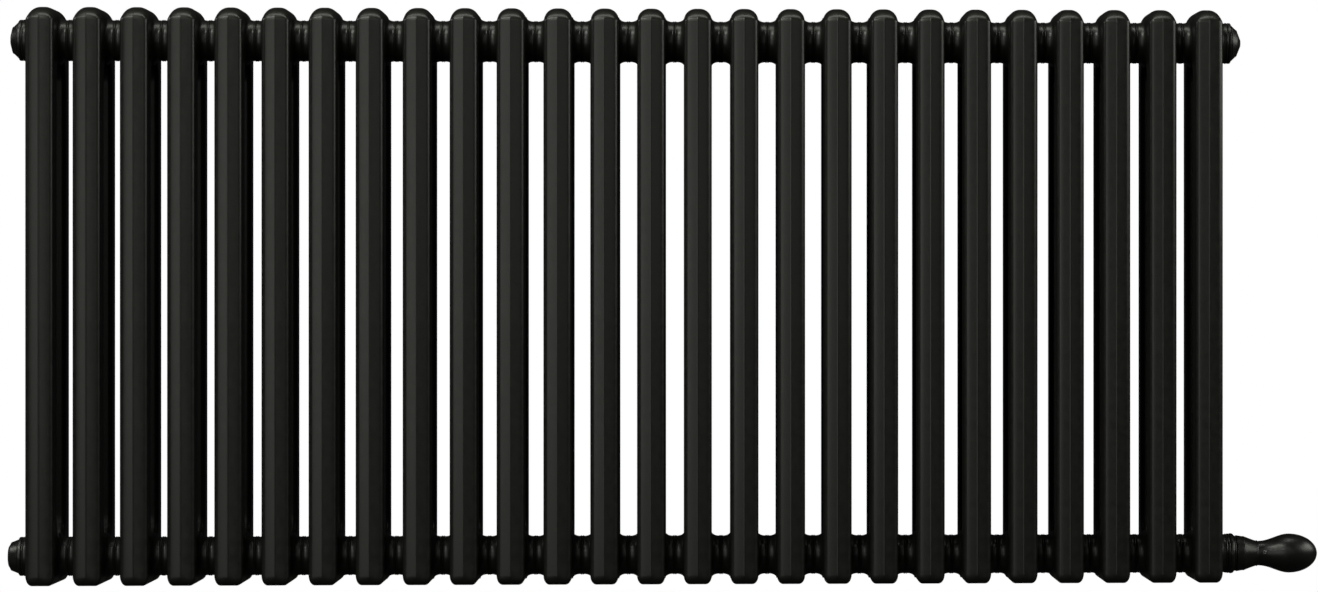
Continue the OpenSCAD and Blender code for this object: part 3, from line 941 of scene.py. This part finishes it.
# %% Vent screw
screw = as_object("vent_key", turn(soften(
    [(VENT_SEAT + 0.3, 0), (VENT_SEAT + 0.3, 1.1, 0.1), (VENT_SEAT + 2, VENT_R - 0.35)]
    + thread(VENT_SEAT + 2.3, CAP_END - 5.0, VENT_R, 0.3, 0.7)
    + [(CAP_END - 4.6, VENT_R - 0.3), (CAP_END - 4.6, 0)], 2), 48), "vent_brass")
key = as_object("square", prism(4, 2 * math.sqrt(2), CAP_END - 5.2, CAP_END - 0.4,
                                math.radians(45)))
corners = as_object("corners", turn(soften([(CAP_END - 6, 0), (CAP_END - 6, 2.55),
                                            (CAP_END - 0.4, 2.55, 0.6),
                                            (CAP_END - 0.4, 0)], 3), 48))
carve(key, corners, "INTERSECT")
carve(screw, key, "UNION")
fit(screw, "vent", "vent_brass", "vent_screw")

# %% [markdown]
# ## The valve
#
# The valve sits on the bottom header's axis. From the hub outwards come the tail
# with its flange, the union nut with its fine groove and collar, the fixed skirt,
# and the egg-shaped head that turns. Behind the skirt, a brass body points its port at
# the wall.

# %% Tail and union nut
AXIS = Matrix.Translation((BLOCK_END * MM, 0, low_level * MM))


def on_axis(name, outline, finish, steps=96, closed=False):
    return as_object(name, shifted(turn(outline, steps, closed), AXIS), finish)


tail = soften([(-13, 8.5), (-13, THREAD_R - 1.2, 0.4)]
              + thread(-12.4, 0.2, THREAD_R - 0.06, 0.8, 2.3)
              + [(1, THREAD_R - 0.9), (1, 18.8, 0.5), (2.6, 18.8, 0.5), (2.6, 12.2, 0.2),
                 (5.4, 12.2, 0.1), (5.4, 14.4, 0.3), (6.4, 14.4, 0.4), (7.2, 12.6),
                 (7.2, 8.5)], 4)
fit(on_axis("valve_tail_piece", tail, "valve_paint", closed=True), "radiator",
    "valve_paint", "valve_tail")

nut = soften([(3, 12.5), (3, 18.8, 0.5), (4.5, 18.8, 0.15), (4.8, 18.3, 0.1),
              (5.1, 18.8, 0.15), (6.9, 18.8, 0.6), (6.9, 16.9, 0.2), (8.2, 16.9, 0.3),
              (9.1, 15.5, 0.2), (9.1, 14.8), (5.3, 14.8), (5.3, 12.5)], 4)
fit(on_axis("union_nut_piece", nut, "valve_paint", closed=True), "radiator",
    "valve_paint", "union_nut")

# %% [markdown]
# The skirt is a thin shell: straight at first, then it tapers to the neck in a
# line so slightly hollow that it looks straight. Its back is open for the port.

# %% Skirt
PORT_U = 18.4
taper = [(16.4 + 14.4 * k / 14, 12.0 + 5.2 * (1 - k / 14) ** 1.12)
         for k in range(1, 15)]
outer = [(9.3, 15.6, 0.2), (10.3, 17.2, 0.6), (16.4, 17.2, 1.5)] + taper[:-1] \
    + [(30.8, 12.0, 0.4)]
inner = [(30.8, 10.4, 0.1), (29.4, 10.4), (26.5, 11.3), (25, 12.15), (16.4, 15.3),
         (9.3, 15.3)]
skirt = on_axis("skirt_shell", soften(outer + inner, 4), "valve_paint", closed=True)
hole = shifted(prism(64, 12.5, 0, 40), AXIS @ Matrix.Translation((PORT_U * MM, 0, 0))
               @ Matrix.Rotation(math.radians(90), 4, "Z"))
carve(skirt, as_object("port_hole", hole))
mark_low, mark_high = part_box("index_mark")
slot_cut = bmesh.new()
bmesh.ops.create_cube(slot_cut, size=1)
play = 0.03 * MM
size = mark_high - mark_low
shifted(slot_cut, Matrix.Translation((mark_low + mark_high) / 2 - Vector((0, 0.002, 0)))
        @ Matrix.Diagonal((size.x + play, size.y + 0.004, size.z + play, 1)))
carve(skirt, as_object("index_slot", slot_cut))
fit(skirt, "radiator", "valve_paint", "skirt", sharp=28)

# %% [markdown]
# The body is brass. Two turned forms meet at right angles, then the bores are cut
# through both, and the wall port gets a real internal thread.

# %% Valve body
body_outline = soften([(7.3, 0), (7.3, 14.6, 0.3), (9.2, 14.6), (9.2, 15.2, 0.3),
                       (16, 15.2, 1.0), (24, 12.1, 0.4), (24, 0)], 4)
body = on_axis("valve_body_piece", body_outline, "valve_brass")
aside = (AXIS @ Matrix.Translation((PORT_U * MM, 0, 0))
         @ Matrix.Rotation(math.radians(90), 4, "Z"))
boss = soften([(12.4, 0), (12.4, 9.0), (17.3, 9.0, 0.4), (17.3, 11.2, 0.5),
               (33, 11.2, 0.6), (33, 0)], 4)
carve(body, as_object("boss", shifted(turn(boss, 72), aside)), "UNION")
chamber = [(7, 0), (7, 8.2), (12.6, 8.2), (12.6, 10.2), (20.6, 10.2), (20.6, 10.6),
           (25, 10.6), (25, 0)]
carve(body, as_object("chamber", shifted(turn(chamber, 64), AXIS)))
port = [(0, 0), (0, 6.5), (18.2, 6.5)] + thread(18.6, 31.8, PORT_R, 0.7, 1.4) \
    + [(32.2, PORT_R), (33.2, PORT_R + 0.9), (33.2, 0)]
carve(body, as_object("port", shifted(turn(port, 64), aside)))
fit(body, "radiator", "valve_brass", "valve_body")

# %% [markdown]
# ## The egg-shaped head
#
# The head grows from the neck in a slow curve, is fullest a little past halfway and
# closes in a blunt nose. It is hollow, with the bore that turns on the bonnet's
# tube. A set screw in the neck stops it from being pulled off.

# %% Head
NECK_R, EGG_R = 12.0, 19.1
EGG_START, EGG_FULL, EGG_END = 31.2, 62.3, 90.1
EGG_STEPS = 40
NECK_BORE, SENSOR_ROOM = 9.3, 11.2
egg = [(EGG_START, NECK_BORE), (EGG_START, NECK_R - 0.5), (EGG_START + 0.25, NECK_R - 0.12)]
for k in range(1, EGG_STEPS + 1):
    t = k / EGG_STEPS
    egg.append((EGG_START + (EGG_FULL - EGG_START) * t,
                NECK_R + (EGG_R - NECK_R) * (0.5 - 0.5 * math.cos(math.pi * t ** 1.08))))
for k in range(1, EGG_STEPS + 1):
    a = math.radians(90) * k / EGG_STEPS
    egg.append((EGG_FULL + (EGG_END - EGG_FULL) * math.sin(a), EGG_R * math.cos(a)))
egg[-1] = (EGG_END, 0)
hollow = [(68, 0), (68, SENSOR_ROOM), (38.5, SENSOR_ROOM), (38.5, NECK_BORE)]
shell = on_axis("egg_head", egg + hollow, "head_plastic", 128, closed=True)
screw_way = (AXIS @ Matrix.Translation((37 * MM, 0, 1.5 * MM))
             @ Matrix.Rotation(math.radians(-90), 4, "Z"))
carve(shell, as_object("screw_hole", shifted(prism(40, 1.55, 9.0, 20), screw_way)))
fit(shell, "head", "head_plastic", "handle", sharp=40)

# %% [markdown]
# The set screw is a short steel plug with a hexagon socket. It is turned like the
# rest, stood in its hole at right angles to the axis, and moves with the head.

# %% Set screw
grub = as_object("grub", turn(soften([(9.6, 0), (9.6, 1.52, 0.2), (12.1, 1.52, 0.3),
                                      (12.3, 0)], 3), 40), "set_screw")
carve(grub, as_object("hex", prism(6, 0.8, 11.2, 13)))
grub.data.transform(screw_way)
fit(grub, "head", "set_screw", "grub_screw")

# %% [markdown]
# ## The return spring
#
# A real coil is one wire wound four times round the pin, with its ends closed.
# A curve with a round bevel gives it. One end stands on the pin's collar and the
# other on the bonnet.

# %% Spring
spring_low, spring_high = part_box("return_spring")
WIRE, COIL_R = 0.5 * MM, 4.4 * MM
valve_z = low_level * MM
x_start, x_end = spring_low.x + WIRE, spring_high.x - WIRE
curve = bpy.data.curves.new("coil", "CURVE")
curve.dimensions = "3D"
curve.bevel_depth = WIRE
curve.bevel_resolution = 4
curve.use_fill_caps = True
wire = curve.splines.new("POLY")
TURNS, PER_TURN = 5, 40
wire.points.add(TURNS * PER_TURN)
for k in range(TURNS * PER_TURN + 1):
    a = k / PER_TURN
    rise = smooth((a - 0.35) / (TURNS - 0.7))
    angle = 2 * math.pi * a
    wire.points[k].co = (x_start + (x_end - x_start) * (0.15 * a / TURNS + 0.85 * rise),
                         COIL_R * math.cos(angle),
                         valve_z + COIL_R * math.sin(angle), 1)
coil = bpy.data.objects.new("coil", curve)
scene.collection.objects.link(coil)
bpy.context.view_layer.update()
graph = bpy.context.evaluated_depsgraph_get()
spring_mesh = bpy.data.meshes.new_from_object(coil.evaluated_get(graph))
bpy.data.objects.remove(coil)
spring = bpy.data.objects.new("return_spring_coil", spring_mesh)
spring_mesh.materials.clear()
spring_mesh.materials.append(FINISH["inner_steel"])
scene.collection.objects.link(spring)
spring.data.shade_smooth()
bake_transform(spring)
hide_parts("return_spring")
print("spring from", round(x_start, 4), "to", round(x_end, 4))

# %% [markdown]
# ## Parts that are right as they are
#
# The inner parts were turned and drilled exactly in CAD, so they stay. Each one
# gets its finish and a tiny bevel, which catches the light as a real edge does.

# %% Finish the carried-over parts
slot_of = {part["node"]: part["material_slot"] for part in frame["record"]["subparts"]}
for name, obj in NODES.items():
    if obj.hide_render:
        continue
    finish = slot_of[name]
    obj.data.materials.clear()
    obj.data.materials.append(FINISH[finish])
    if name != "index_mark":
        bevel = obj.modifiers.new("broken_edge", "BEVEL")
        bevel.width = 0.12 * MM
        bevel.segments = 2
        bevel.limit_method = "ANGLE"
        bevel.angle_limit = math.radians(50)
        bevel.harden_normals = True
    print("kept", name, "as", finish)

# %% [markdown]
# ## Floor
#
# The radiator hangs on a wall, clear of the floor. A pale disc below it catches
# its shadow in views from above. A pale floor would also throw light up under the
# feet, so it is pale to the camera's own rays and dark to all others, which is
# what a studio does with a black card laid just out of sight.

# %% Floor
FLOOR_RADIUS, FLOOR_DROP = 2.6, 0.11
floor_bm = bmesh.new()
bmesh.ops.create_circle(floor_bm, cap_ends=True, segments=128, radius=FLOOR_RADIUS)
floor = as_object("floor", floor_bm)
floor.location = (0.04, -1.5, FOOT * MM - FLOOR_DROP)
pale, tree, shader, vector = start_material("pale_floor")
grain = noise_field(tree, vector, 3.0, 4.0)
plain = mix_colour(tree, grain.outputs["Fac"], (0.80, 0.80, 0.79), (0.86, 0.86, 0.85))
card = tree.nodes.new("ShaderNodeLightPath")
tree.links.new(mix_colour(tree, card.outputs["Is Camera Ray"], (0.02, 0.02, 0.02), plain),
               shader.inputs["Base Color"])
shader.inputs["Roughness"].default_value = 0.8
floor.data.materials.append(pale)
